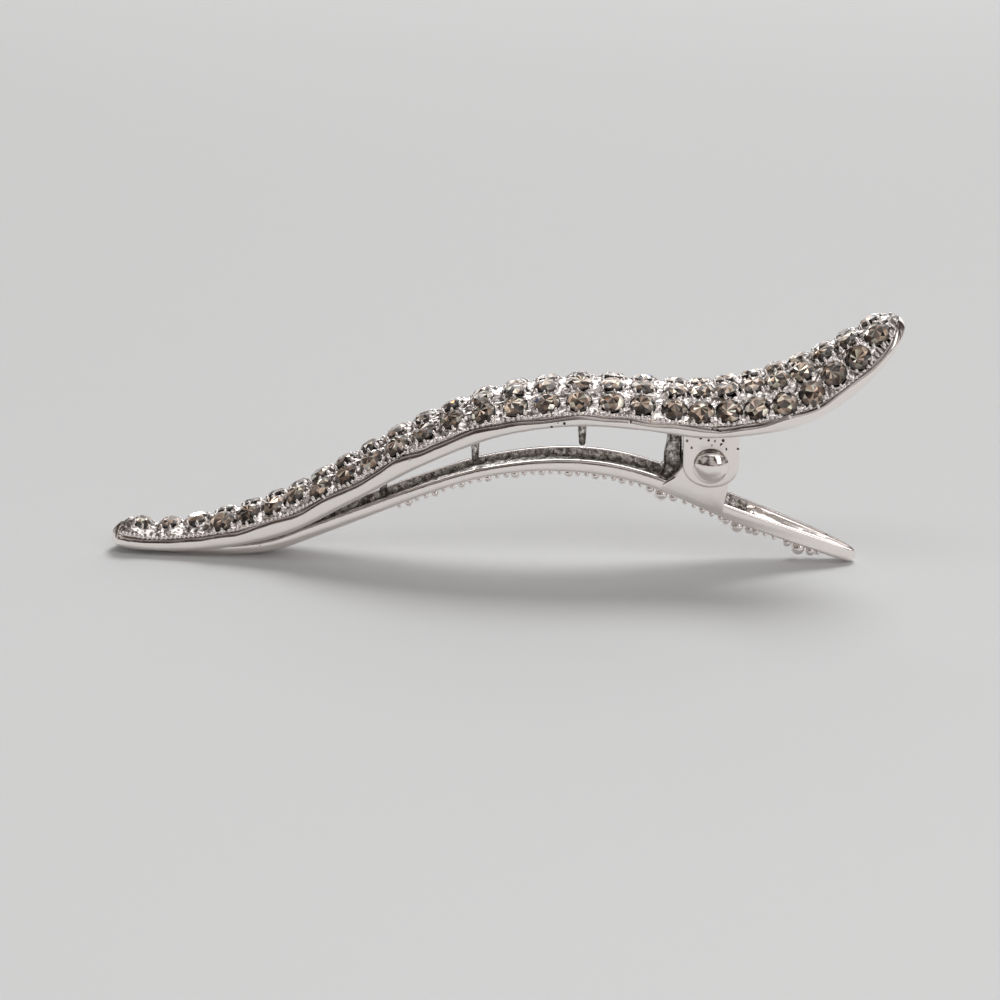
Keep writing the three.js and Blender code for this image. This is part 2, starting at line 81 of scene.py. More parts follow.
# Half the shell's width, its height over the spine and its roll in degrees, each at some x.
UPPER_HALF_WIDTH = [
    (-64.6, 0.9), (-64, 1.6), (-62.5, 2.1), (-60, 2.35), (-52, 3), (-44, 3.8), (-34, 4.75),
    (-24, 5.6), (-14, 6), (-3, 6.05), (4, 5.95), (9, 5.6), (13, 4.8), (16.5, 3.8),
    (19, 2.45), (19.9, 1),
]
UPPER_HEIGHT = [
    (-64.6, 1.4), (-64, 2.2), (-60, 2), (-55, 2.45), (-48, 3), (-38, 3.2), (-22, 3.35),
    (-14, 3.35), (-6, 3.4), (2, 3.9), (9, 3.9), (14, 3.5), (18, 2.5), (19.9, 1.4),
]
UPPER_ROLL = [(-64.6, 0), (-3, 0), (4, 3), (10, 10), (15, 13), (19.9, 14)]
RIM_BAND = [
    (-64.6, 1.2), (-58, 1.4), (-50, 1.65), (-40, 1.7), (-30, 1.65), (-23, 1.35), (-16, 1),
    (-1, 1.05), (9.5, 1.25), (15, 1), (19.9, 0.8),
]
RIM_STEP = 0.3
SHELL_WALL = 0.95
SOLID_TIP = 3
LEAST_HOLLOW = 0.03
MOST_BAND_SHARE = 0.55
MOST_STEP_SHARE = 0.2
MOST_WALL_SHARE = 0.42
TIP_ROUNDING = 0.9

# The lower jaw is an open channel. Its spine is the middle of its underside.
LOWER_SPINE = [
    (-59.6, -11.3), (-57.8, -11.6), (-51, -11.6), (-46.5, -10.9), (-42, -9.2), (-37.2, -7.2),
    (-30, -4.2), (-24, -2.2), (-18, -1.35), (-12, -1.6), (-7, -2.65), (-3, -4.2), (1, -6),
    (6, -8), (11, -9.95), (14.4, -11.25), (15.6, -11.6),
]
LOWER_HALF_WIDTH = [
    (-59.6, 0.6), (-58.6, 1.15), (-56, 1.4), (-48, 1.9), (-38, 2.4), (-26, 2.65),
    (-12, 2.85), (-3, 2.9), (3, 2.7), (8, 2.15), (12, 1.5), (14.6, 0.95), (15.6, 0.5),
]
LOWER_HEIGHT = [
    (-59.6, 0.6), (-57.5, 1), (-50, 1.2), (-40, 1.35), (-22, 1.1), (-12, 1.45), (-4, 1.4),
    (4, 1.5), (12, 1.55), (15.6, 1.3),
]
CHANNEL_FLOOR = 0.5
CHANNEL_WALL = 0.6

# The hinge.
PIN_RADIUS = 0.8
HOLE_RADIUS = 1.0
HEAD_RADIUS = 1.87
HEAD_HEIGHT = 0.95
HEAD_SEAT = 4.15
UPPER_EAR_OUTSIDE = 4.05
UPPER_EAR_HALF_LENGTH = 2.95
UPPER_EAR_DROP = 2.4
UPPER_EAR_TOP = 5.9
LOWER_EAR_OUTSIDE = 2.95
LOWER_EAR_RADIUS = 2.6
EAR_THICKNESS = 0.75
POST = {"front": -4.9, "back": -3.1, "half_width": 1.7, "bottom": -2.1, "top": 6.9}
POST_FOOT = {"front": -5.8, "height": 1.6}
TEETH = [(-34.9, -5.1), (-25, -1.15), (-13.6, 0.9)]  # x and tip height
TOOTH_RADIUS = 0.62
TOOTH_TIP_RADIUS = 0.36

# The spring. Leg angles are above +X.
WIRE_RADIUS = 0.34
COIL_RADIUS = 1.5
COIL_LENGTH = 3.2
COIL_WHOLE_TURNS = 4
GRIP_LEG_ANGLE = 36
GRIP_LEG_LENGTH = 7.0
FLOOR_LEG_ANGLE = -54
FLOOR_LEG_LENGTH = 5.1

# The stones and the metal that holds them.
STONE_RADIUS = 1.36
STONE_PITCH = 3.165
STONE_PITCH_ACROSS = 2.68
MOST_PITCH_ACROSS = 3.3
# From the plain band to the nearest stone's middle, at some x.
STONE_MARGIN = [
    (-64.6, 1.6), (-54, 1.6), (-50, 1.45), (-36, 1.45), (-24, 1.7), (-2, 1.7), (6, 1.4),
    (13.5, 1.4), (16.5, 1.6), (19.9, 1.75),
]
FIRST_ROW_AT = 3.6
STONE_ROWS = 28
FULL_STONE_HALF_WIDTH = 2.7
GIRDLE_HEIGHT = 0.42
TABLE_HEIGHT = 0.8
CUP_RADIUS = 1.4
CUP_DEPTH = 0.3
WEB_HEIGHT = 0.27  # of the metal between the stones, over the dome
WEB_REACH = 1.1  # how far the raised metal goes from a cup
PRONG_RADIUS = 0.28
PRONG_HEIGHT = 0.52
BEAD_RADIUS = 0.23
BEAD_PITCH = 0.52
TAIL_LADDER = 6  # from the tail's tip, where the beads stretch into bars
LADDER_BAR_HALF_LENGTH = 0.6
LADDER_BAR_RADIUS = 0.16

# Relief along both edges of the lower jaw's underside.
BLOSSOMS = [-5.0, 3.1, 9.7]
BLOSSOM_RADIUS = 0.74
BLOSSOM_REACH = 1.9
RELIEF_BEADS = {"from": -33, "to": 12.4, "pitch": 0.95, "radius": 0.46}

random.seed(7)

# ---------------------------------------------------------------- curves


def hermite(start, end, leave, arrive, t):
    """A cubic from start to end with those slopes per unit of t."""
    bend = 2 * (start - end) + leave + arrive
    turn = 3 * (end - start) - 2 * leave - arrive
    return ((bend * t + turn) * t + leave) * t + start


def profile(pairs):
    """A smooth function of x through a few given pairs."""
    places, values = np.array(pairs, float).T
    rises = np.diff(values) / np.diff(places)
    slopes = np.concatenate([rises[:1], (rises[1:] + rises[:-1]) / 2, rises[-1:]])

    def at(x):
        x = np.clip(x, places[0], places[-1])
        i = np.clip(np.searchsorted(places, x, side="right") - 1, 0, len(places) - 2)
        gap = places[i + 1] - places[i]
        return hermite(values[i], values[i + 1], slopes[i] * gap, slopes[i + 1] * gap,
                       (x - places[i]) / gap)

    return at


class Spine:
    """A smooth curve in the XZ plane through given points, known by its length."""

    SAMPLES = 40

    def __init__(self, pairs):
        knots = np.array(pairs, float)
        ends = np.array([2 * knots[0] - knots[1], *knots, 2 * knots[-1] - knots[-2]])
        pieces = [self.piece(*ends[i : i + 4]) for i in range(len(pairs) - 1)]
        self.points = np.concatenate([*pieces, knots[-1:]])
        steps = np.linalg.norm(np.diff(self.points, axis=0), axis=1)
        self.lengths = np.concatenate([[0], np.cumsum(steps)])
        self.slopes = np.gradient(self.points, self.lengths, axis=0)
        self.length = self.lengths[-1]

    def piece(self, before, start, end, after):
        corners = [before, start, end, after]
        first, middle, last = [np.linalg.norm(b - a) ** 0.5 for a, b in zip(corners, corners[1:])]
        leave = (start - before) / first - (end - before) / (first + middle)
        arrive = (after - end) / last - (after - start) / (middle + last)
        straight = (end - start) / middle
        t = np.linspace(0, 1, self.SAMPLES, endpoint=False)[:, None]
        return hermite(start, end, (leave + straight) * middle, (arrive + straight) * middle, t)

    def length_at(self, x):
        return np.interp(x, self.points[:, 0], self.lengths)

    def frames(self, lengths, roll=None):
        """Frames at some lengths: their origins and their along, across and up directions."""
        x, z = [np.interp(lengths, self.lengths, self.points[:, i]) for i in (0, 1)]
        dx, dz = [np.interp(lengths, self.lengths, self.slopes[:, i]) for i in (0, 1)]
        size = np.hypot(dx, dz)
        zero = np.zeros_like(x)
        along = np.stack([dx / size, zero, dz / size], axis=-1)
        across = np.stack([zero, zero + 1, zero], axis=-1)
        up = np.cross(along, across)
        if roll is not None:
            turn = np.radians(roll(x))[..., None]
            across, up = (np.cos(turn) * across + np.sin(turn) * up,
                          np.cos(turn) * up - np.sin(turn) * across)
        return np.stack([x, zero, z], axis=-1), along, across, up


upper_spine = Spine(UPPER_SPINE)
lower_spine = Spine(LOWER_SPINE)
upper_half_width = profile(UPPER_HALF_WIDTH)
upper_height = profile(UPPER_HEIGHT)
upper_roll = profile(UPPER_ROLL)
rim_band = profile(RIM_BAND)
stone_margin = profile(STONE_MARGIN)
lower_half_width = profile(LOWER_HALF_WIDTH)
lower_height = profile(LOWER_HEIGHT)


def unit(vectors):
    return vectors / np.linalg.norm(vectors, axis=-1, keepdims=True)


def ripple(points, feature, size, seed=0.0):
    """Smooth noise with that size, at points in millimetres, with that spacing of its features."""
    shape = points.shape[:-1]
    flat = points.reshape(-1, 3) / feature + seed
    values = [noise.noise(Vector(point)) for point in flat]
    return size * np.array(values).reshape(shape)


# ---------------------------------------------------------------- pieces from closed shapes


def new_object(name, data):
    item = bpy.data.objects.new(name, data)
    bpy.context.scene.collection.objects.link(item)
    return item


def set_attribute(mesh, name, kind, key, values):
    mesh.attributes.new(name, *kind).data.foreach_set(key, np.array(values).ravel())


class Piece:
    """Closed shapes in millimetres from the hinge, which become one Blender object."""

    def __init__(self):
        self.points = []
        self.faces = []
        self.slots = []
        # per point: painted shade for the plate, and darker streaks for the post
        self.painted_shade_and_streaks = []
        self.pitting = []
        self.count = 0

    def add(self, points, faces, slot=0, painted_shade_and_streaks=0.0, pitting=0.0):
        points = np.asarray(points, float).reshape(-1, 3)
        self.points.append(points)
        self.faces.extend([tuple(corner + self.count for corner in face) for face in faces])
        self.slots.extend(np.broadcast_to(slot, len(faces)).tolist())
        self.painted_shade_and_streaks.append(np.broadcast_to(painted_shade_and_streaks, len(points)))
        self.pitting.append(np.broadcast_to(pitting, len(points)))
        self.count += len(points)

    def build(self, name, materials, sharp_degrees=None):
        mesh = bpy.data.meshes.new(name)
        mesh.from_pydata((np.concatenate(self.points) * MM + HINGE).tolist(), [], self.faces)
        for material in materials:
            mesh.materials.append(material)
        mesh.polygons.foreach_set("material_index", self.slots)
        for label, values in (("painted_shade_and_streaks", self.painted_shade_and_streaks), ("pitting", self.pitting)):
            set_attribute(mesh, label, ("FLOAT", "POINT"), "value", np.concatenate(values))
        if sharp_degrees is not None:
            mesh.shade_smooth()
            mesh.set_sharp_from_angle(angle=math.radians(sharp_degrees))
        mesh.validate()
        mesh.update()
        return new_object(name, mesh)


def loop_faces(rings, size, spans):
    """Faces of the first spans of a loop of rings, each of that many points."""
    faces = []
    for i in range(spans):
        a, b = i * size, (i + 1) % rings * size
        for j in range(size):
            k = (j + 1) % size
            faces.append((a + j, b + j, b + k, a + k))
    return faces


def tube_faces(rings, size):
    """Faces of a straight tube through rings of that many points, with flat ends."""
    last = (rings - 1) * size
    ends = [tuple(range(size)), tuple(range(last + size - 1, last - 1, -1))]
    return loop_faces(rings, size, rings - 1) + ends


def ball_shape():
    shape = bmesh.new()
    bmesh.ops.create_icosphere(shape, subdivisions=2, radius=1)
    points = np.array([vertex.co[:] for vertex in shape.verts])
    faces = [tuple(vertex.index for vertex in face.verts) for face in shape.faces]
    shape.free()
    return points, faces


BALL_POINTS, BALL_FACES = ball_shape()


def add_ball(piece, centre, axes, radii):
    """A stretched ball: radii are its half lengths along the three axes."""
    piece.add(centre + (BALL_POINTS * np.asarray(radii)) @ np.asarray(axes), BALL_FACES)


# ---------------------------------------------------------------- materials


class Graph:
    """A material's node tree, with a short call for each kind of node that is used here."""

    PER_MM = 1 / MM

    def __init__(self, name):
        self.material = bpy.data.materials.new(name)
        self.material.use_nodes = True
        self.tree = self.material.node_tree
        self.shader = self.tree.nodes["Principled BSDF"]
        self.place = self.node("ShaderNodeTexCoord").outputs["Object"]

    def node(self, kind, **settings):
        node = self.tree.nodes.new(kind)
        for name, value in settings.items():
            setattr(node, name, value)
        return node

    def put(self, socket, value):
        if isinstance(value, bpy.types.NodeSocket):
            self.tree.links.new(value, socket)
        else:
            socket.default_value = value

    def noise(self, feature_mm, detail=2.0):
        node = self.node("ShaderNodeTexNoise")
        self.put(node.inputs["Vector"], self.place)
        node.inputs["Scale"].default_value = self.PER_MM / feature_mm
        node.inputs["Detail"].default_value = detail
        return node.outputs["Fac"]

    def cells(self, feature_mm):
        node = self.node("ShaderNodeTexVoronoi")
        self.put(node.inputs["Vector"], self.place)
        node.inputs["Scale"].default_value = self.PER_MM / feature_mm
        return node.outputs["Distance"]

    def attribute(self, name, output="Fac"):
        node = self.node("ShaderNodeAttribute", attribute_name=name)
        return node.outputs[output]

    def remap(self, value, low, high, to_low, to_high):
        node = self.node("ShaderNodeMapRange")
        for name, setting in zip(("Value", "From Min", "From Max", "To Min", "To Max"),
                                 (value, low, high, to_low, to_high)):
            self.put(node.inputs[name], setting)
        return node.outputs["Result"]

    def math(self, operation, a, b):
        node = self.node("ShaderNodeMath", operation=operation)
        self.put(node.inputs[0], a)
        self.put(node.inputs[1], b)
        return node.outputs["Value"]

    def mix(self, share, a, b):
        node = self.node("ShaderNodeMix", data_type="RGBA")
        first, second, result = node.inputs[6], node.inputs[7], node.outputs[2]
        self.put(node.inputs[0], share)
        self.put(first, a)
        self.put(second, b)
        return result

    def bump(self, height, depth_mm, normal=None):
        node = self.node("ShaderNodeBump")
        self.put(node.inputs["Height"], height)
        node.inputs["Distance"].default_value = depth_mm * MM
        if normal is not None:
            self.put(node.inputs["Normal"], normal)
        return node.outputs["Normal"]

    def set(self, **inputs):
        for name, value in inputs.items():
            self.put(self.shader.inputs[name.replace("_", " ")], value)


def rgb(red, green, blue):
    return (red, green, blue, 1)


def polished_plate():
    """Bright plating on a tumbled casting: a little wavy, with a few pits, and painted shade in the
    pits, the cups, the dents and the groove.
    """
    graph = Graph("rhodium_polished")
    scarce = graph.math("SUBTRACT", 0.68, graph.math("MULTIPLY", graph.attribute("pitting"), 0.24))
    pits = graph.math("MULTIPLY", graph.remap(graph.cells(0.62), 0.2, 0.33, 1, 0),
                      graph.math("GREATER_THAN", graph.noise(2.6), scarce))
    # painted shade: pits and the hollows round the stones darken the plate's colour
    painted_plate_shade = graph.math("MAXIMUM", graph.attribute("painted_shade_and_streaks"), pits)
    bright = graph.mix(graph.noise(7), rgb(1, 0.95, 0.92), rgb(0.95, 0.885, 0.86))
    smear = graph.remap(graph.noise(1.7, 4), 0.35, 0.7, 0.055, 0.15)
    waves = graph.bump(graph.noise(2.4, 1), 0.035)
    grain = graph.bump(graph.noise(0.28, 3), 0.004, waves)
    graph.set(
        Metallic=1.0,
        Base_Color=graph.mix(painted_plate_shade, bright, rgb(0.045, 0.035, 0.03)),
        Roughness=graph.math("ADD", smear, graph.math("MULTIPLY", painted_plate_shade, 0.3)),
        Normal=graph.bump(graph.math("SUBTRACT", 1, pits), 0.05, grain),
    )
    return graph.material


def rough_cast():
    """The inside of the casting: plated but never polished, so grainy and partly dull."""
    graph = Graph("rhodium_rough_cast")
    lumps = graph.noise(0.55, 3)
    grain = graph.noise(0.16, 2)
    shade = graph.remap(graph.math("ADD", lumps, graph.math("MULTIPLY", grain, 0.6)),
                        0.68, 0.92, 0, 1)
    bright = graph.mix(shade, rgb(0.2, 0.18, 0.16), rgb(1, 0.97, 0.93))
    # the attribute darkens only the post here, in random streaks
    graph.set(
        Metallic=1.0,
        Base_Color=graph.mix(graph.attribute("painted_shade_and_streaks"), bright, rgb(0.07, 0.055, 0.045)),
        Roughness=graph.remap(lumps, 0.3, 0.7, 0.42, 0.22),
        Normal=graph.bump(grain, 0.03, graph.bump(lumps, 0.12)),
    )
    return graph.material


def spring_wire():
    """Drawn wire: dull steel with fine streaks and darker smears of oil."""
    graph = Graph("drawn_wire")
    streaks = graph.noise(0.09, 3)
    smears = graph.remap(graph.noise(1.1, 2), 0.4, 0.65, 0, 1)
    graph.set(
        Metallic=1.0,
        Base_Color=graph.mix(smears, rgb(0.56, 0.56, 0.57), rgb(0.34, 0.33, 0.33)),
        Roughness=graph.remap(streaks, 0.3, 0.7, 0.22, 0.4),
        Normal=graph.bump(streaks, 0.008),
    )
    return graph.material


def foiled_stone():
    """Smoky glass over foil: every facet has its own painted reflection colour and shows a tilted
    facet behind it.
    """
    graph = Graph("smoky_stone")
    turned = graph.node("ShaderNodeVectorTransform", vector_type="NORMAL",
                        convert_from="OBJECT", convert_to="WORLD")
    graph.put(turned.inputs["Vector"], graph.attribute("behind", "Vector"))
    painted_reflection = graph.attribute("painted_reflection", "Color")
    haze = graph.noise(0.5, 2)
    dusty = graph.remap(haze, 0.5, 0.8, 0, 0.35)
    graph.set(
        Metallic=0.6,
        Base_Color=graph.mix(dusty, painted_reflection, rgb(0.3, 0.27, 0.24)),
        Roughness=graph.remap(haze, 0.3, 0.7, 0.05, 0.16),
        Normal=turned.outputs["Vector"],
        Coat_Weight=1.0,
        Coat_Roughness=graph.remap(graph.noise(0.7, 2), 0.3, 0.7, 0.01, 0.04),
        Coat_IOR=1.55,
        Coat_Normal=graph.bump(graph.noise(0.9, 1), 0.003),
    )
    return graph.material


def matt_floor():
    graph = Graph("pale_floor")
    mottle = graph.noise(160, 3)
    graph.set(
        Base_Color=graph.mix(mottle, rgb(0.68, 0.69, 0.695), rgb(0.7, 0.71, 0.715)),
        Roughness=graph.remap(mottle, 0.3, 0.7, 0.82, 0.9),
        Normal=graph.bump(graph.noise(0.6, 3), 0.01),
    )
    graph.set(Specular_IOR_Level=0.15)
    return graph.material


# ---------------------------------------------------------------- upper jaw


def upper_section(x):
    """The plain band at some x, and the chord, radius and centre of the dome on it."""
    half_width = upper_half_width(x)
    height = upper_height(x)
    band = np.minimum(rim_band(x), MOST_BAND_SHARE * height)
    half_chord = half_width - np.minimum(RIM_STEP, MOST_STEP_SHARE * half_width)
    rise = height - band
    radius = (half_chord**2 + rise**2) / (2 * rise)
    half_angle = np.arcsin(np.minimum(half_chord / radius, 1))
    return {
        "half_width": half_width, "height": height, "band": band, "half_chord": half_chord,
        "radius": radius, "centre": height - radius, "half_angle": half_angle,
    }


def dome_point(length, angle):
    """A point on the dome, at a length along the spine and an angle away from the crown."""
    origin, _, across, up = upper_spine.frames(np.array(length), upper_roll)
    section = upper_section(origin[0])
    radius = section["radius"]
    return (origin + across * radius * np.sin(angle)
            + up * (section["centre"] + radius * np.cos(angle)))


def dome_axes(length, angle):
    """The directions along, across and out of the dome's surface at a point."""
    step = 0.05
    turn = 0.002
    along = unit(dome_point(length + step, angle) - dome_point(length - step, angle))
    sideways = dome_point(length, angle + turn) - dome_point(length, angle - turn)
    up = unit(np.cross(along, sideways))
    return np.array([along, np.cross(up, along), up])


def stone_places():
    """One list of stones for each row: the middle, the axes and the size of each stone."""
    rows = []
    for row in range(STONE_ROWS):
        length = FIRST_ROW_AT + row * STONE_PITCH
        x = upper_spine.frames(np.array(length))[0][0]
        size = min(1, float(upper_half_width(x)) / FULL_STONE_HALF_WIDTH)
        section = upper_section(x)
        span = 2 * max(0, section["half_angle"] * section["radius"] - stone_margin(x))
        spaces = max(0, math.floor(span / STONE_PITCH_ACROSS))
        spacing = min(span / spaces, MOST_PITCH_ACROSS) / section["radius"] if spaces else 0
        angles = [(i - spaces / 2) * spacing for i in range(spaces + 1)]
        rows.append([{"centre": dome_point(length, angle), "axes": dome_axes(length, angle),
                      "size": size} for angle in angles])
    return rows


STATION_PITCH = 0.16
DOME_COLUMNS = 84
DOME_EDGE = 0.985  # share of the dome's half angle that its own points reach
INNER_COLUMNS = 22
SNAP = 0.1  # metal this near to a cup's edge is drawn to it
CUP_SEARCH = 1.2  # metal further than this over or under a stone isn't part of its cup
CUP_EDGE_SHADE = 0.3
# The rim's outline, from the dome down: inset from the side, and height over the band's foot
# as a share of the band and as millimetres. The groove is two of the points.
RIM_OUTLINE = [
    (0.34, 1, 0.16), (0.27, 1, 0.14), (0.23, 1, 0.02), (0.2, 1, -0.18), (0.08, 1, -0.2),
    (0.045, 1, -0.1), (0.01, 1, -0.05), (-0.03, 1, -0.1), (-0.05, 0.55, 0), (-0.03, 0.25, 0),
    (0.05, 0.06, 0), (0.17, 0, -0.02), (0.45, 0, 0), (0.8, 0, 0.05),
]
GROOVE_POINTS = (2, 3, 4)
RIM_WOBBLE = 0.42
LADDER_SHADE = 0.7  # painted shade on the metal between the ladder's bars
SMOOTH_TIP = 0.3  # at both tips, without lumps


def tip_lengths(spine, pitch):
    """Stations along a spine, closer together towards its ends."""
    end = np.linspace(0, 1, 9)[:-1] ** 2 * TIP_ROUNDING
    count = int(spine.length / pitch)
    middle = np.linspace(TIP_ROUNDING, spine.length - TIP_ROUNDING, count)
    return np.concatenate([end, middle, spine.length - end[::-1]])


def tip_shrink(lengths, whole, rounding=TIP_ROUNDING):
    """One along the middle, and falling to nothing round each tip."""
    depth = np.clip(np.minimum(lengths, whole - lengths) / rounding, 0.0, 1)
    return np.maximum(np.sqrt(1 - (1 - depth) ** 2), 0.02)


def side_points(section, side, wobble):
    """The rim's outline at each station, on one side, from the dome to the hollow."""
    small = np.minimum(1, section["half_width"] / 2)
    points = []
    for inset, share, lift in RIM_OUTLINE:
        across = side * (section["half_width"] - inset * small)
        height = share * (section["band"] + wobble) + lift * small
        points.append(np.stack([across, height], axis=-1))
    return np.stack(points, axis=1)


def hollow_points(section, x):
    """The arch inside the shell at each station, from its right foot to its left foot."""
    from_tip = np.minimum(x - UPPER_SPINE[0][0], UPPER_SPINE[-1][0] - x)
    hollow = np.clip(from_tip / SOLID_TIP, LEAST_HOLLOW, 1)
    wall = np.minimum(SHELL_WALL, MOST_WALL_SHARE * section["half_width"])
    chord = section["half_width"] - wall
    base = section["band"] / 2 * hollow
    rise = (section["height"] - wall) * hollow - base
    radius = (chord**2 + rise**2) / (2 * rise)
    turns = np.linspace(0, np.pi, INNER_COLUMNS)
    across = chord[:, None] * np.cos(turns)
    height = np.sqrt(np.maximum(radius[:, None] ** 2 - across**2, 0)) - (radius - rise)[:, None]
    return np.stack([across, base[:, None] + height], axis=-1)


def shell(piece, rows):
    lengths = tip_lengths(upper_spine, STATION_PITCH)
    origin, _, across, up = upper_spine.frames(lengths, upper_roll)
    x = origin[:, 0]
    section = upper_section(x)
    angles = section["half_angle"][:, None] * np.linspace(-DOME_EDGE, DOME_EDGE, DOME_COLUMNS)
    dome = np.stack([section["radius"][:, None] * np.sin(angles),
                     section["centre"][:, None] + section["radius"][:, None] * np.cos(angles)],
                    axis=-1)
    wobble = [ripple(origin, 3.4, RIM_WOBBLE, seed) for seed in (3.1, 9.4)]
    left = side_points(section, -1, wobble[0])
    right = side_points(section, 1, wobble[1])
    outline = np.concatenate([dome, right, hollow_points(section, x), left[:, ::-1]], axis=1)

    shrink = tip_shrink(lengths, upper_spine.length)[:, None]
    squeeze = tip_shrink(lengths, upper_spine.length, TIP_ROUNDING / 2)[:, None]
    middle = (section["height"] / 2)[:, None]
    out = outline[..., 0] * shrink
    high = middle + (outline[..., 1] - middle) * squeeze
    points = (origin[:, None] + across[:, None] * out[..., None] + up[:, None] * high[..., None])

    columns = outline.shape[1]
    painted_shade_and_streaks = np.zeros(points.shape[:2])
    surface = points[:, :DOME_COLUMNS]
    outwards = unit(across[:, None] * np.sin(angles)[..., None]
                    + up[:, None] * np.cos(angles)[..., None])
    lift, painted_shade_and_streaks[:, :DOME_COLUMNS] = seat_stones(surface, rows)
    from_edge = (section["half_angle"] * section["radius"])[:, None] - np.abs(
        angles * section["radius"][:, None])
    bed = 2 * LADDER_BAR_HALF_LENGTH * ladder_share(lengths)[:, None]
    ease = np.clip((from_edge - bed) / 0.15 + 0.3, 0, 1)
    tips = np.clip(np.minimum(lengths, upper_spine.length - lengths) - SMOOTH_TIP, 0, 1)
    raised = lift > 0
    lumps = ripple(surface, 0.9, 0.8) + ripple(surface, 0.45, 0.7, 7.7)
    lift[raised] = (lift * (1 + lumps) * ease * tips[:, None])[raised]
    # painted shade in the low places between the lumps
    dent_shade = np.clip(-2.4 * lumps - 0.12, 0, 0.88)
    dent_shade[from_edge < bed] = LADDER_SHADE
    painted_shade_and_streaks[:, :DOME_COLUMNS] = np.maximum(painted_shade_and_streaks[:, :DOME_COLUMNS], dent_shade)
    surface += outwards * lift[..., None]

    # painted shade in the rim's groove, heavier in places
    groove_shade = np.clip(0.45 + ripple(origin, 4.1, 1.2, 5.5), 0.1, 0.9)
    for column in GROOVE_POINTS:
        painted_shade_and_streaks[:, DOME_COLUMNS + column] = groove_shade
        painted_shade_and_streaks[:, columns - 1 - column] = groove_shade
    inner = DOME_COLUMNS + len(RIM_OUTLINE)
    inside = points[:, inner : inner + INNER_COLUMNS]
    inside += up[:, None] * ripple(inside, 0.8, 0.09)[..., None] * shrink[..., None]

    faces = tube_faces(len(lengths), columns)
    is_inner = [inner <= column < inner + INNER_COLUMNS - 1 for column in range(columns)]
    slots = is_inner * (len(lengths) - 1) + [False, False]
    piece.add(points, faces, np.array(slots, int), painted_shade_and_streaks.ravel())


def seat_stones(surface, rows):
    """How far the metal rises between the stones, where it sinks into their cups, and the painted
    shade in and round each cup.
    """
    gap = np.full(surface.shape[:2], WEB_REACH)
    inside = np.zeros(surface.shape[:2], bool)
    painted_shade_and_streaks = np.zeros(surface.shape[:2])
    for stone in [stone for row in rows for stone in row]:
        cup = CUP_RADIUS * stone["size"]
        offset = surface - stone["centre"]
        height = offset @ stone["axes"][2]
        radial = offset - height[..., None] * stone["axes"][2]
        distance = np.maximum(np.linalg.norm(radial, axis=-1), 1e-6)
        near = np.abs(height) < CUP_SEARCH
        close = near & (np.abs(distance - cup) < SNAP)
        surface[close] += (radial * (cup / distance - 1)[..., None])[close]
        inside |= near & (distance <= cup - SNAP)
        # painted shade in the gap round the cup's edge
        painted_shade_and_streaks[close] = CUP_EDGE_SHADE
        gap[near] = np.minimum(gap, distance - cup)[near]
    # painted shade on the metal under each stone
    painted_shade_and_streaks[inside] = 1
    ease = np.clip(1 - gap / WEB_REACH, 0, 1) ** 0.7
    return np.where(inside, -CUP_DEPTH, WEB_HEIGHT * ease), painted_shade_and_streaks


def prongs(piece, rows):
    """Claws and smaller beads round each stone, left out where a neighbour is in the way."""
    stones = [stone for row in rows for stone in row]
    for stone in stones:
        along, across, up = stone["axes"]
        for turn in range(0, 360, 45):
            share = 1 if turn % 90 else 0.72
            angle = math.radians(turn + random.uniform(-9, 9))
            out = along * math.cos(angle) + across * math.sin(angle)
            foot = stone["centre"] + out * (STONE_RADIUS + 0.12) * stone["size"]
            crowded = any(
                np.linalg.norm(foot - other["centre"]) < (STONE_RADIUS + 0.02) * other["size"]
                for other in stones if other is not stone)
            if crowded:
                continue
            radius = share * PRONG_RADIUS * random.uniform(0.8, 1.15) * stone["size"] ** 0.5
            height = share**0.5 * PRONG_HEIGHT * random.uniform(0.85, 1.1)
            lean = unit(up - 0.25 * out)
            side = unit(np.cross(lean, out))
            axes = [np.cross(side, lean), side, lean]
            add_ball(piece, foot + up * 0.08, axes, (radius * 0.85, radius, height))


def ladder_share(length):
    """One where the beads are bars, near the tail's tip, falling to nothing further in."""
    from_tail = upper_spine.length - length
    return np.clip(2 - 2 * from_tail / TAIL_LADDER, 0, 1)


def milgrain(piece):
    """A row of beads on each side of the stones, which stretch into bars round the tail."""
    count = int(upper_spine.length / BEAD_PITCH)
    for side in (-1, 1):
        for i in range(2, count):
            length = (i + 0.5) * BEAD_PITCH
            stretch = float(ladder_share(length))
            origin, along, across, up = upper_spine.frames(np.array(length), upper_roll)
            section = upper_section(origin[0])
            shrink = float(tip_shrink(length, upper_spine.length))
            small = min(1, float(section["half_width"]) / 2) * shrink
            reach = BEAD_RADIUS + stretch * (LADDER_BAR_HALF_LENGTH - BEAD_RADIUS)
            inwards = (reach - BEAD_RADIUS) / section["radius"]
            angle = float(section["half_angle"]) * DOME_EDGE - inwards
            slope = across * side * math.cos(angle) - up * math.sin(angle)
            normal = across * side * math.sin(angle) + up * math.cos(angle)
            radius = section["radius"] * shrink
            high = section["centre"] + section["radius"] * math.cos(angle)
            centre = (origin + across * side * radius * math.sin(angle)
                      + up * (high + 0.2 * small) + normal * 0.06 * stretch)
            size = BEAD_RADIUS + stretch * (LADDER_BAR_RADIUS - BEAD_RADIUS)
            size *= random.uniform(0.9, 1.1)
            add_ball(piece, centre, [along, slope, normal], (size, reach * small, size * 1.1))


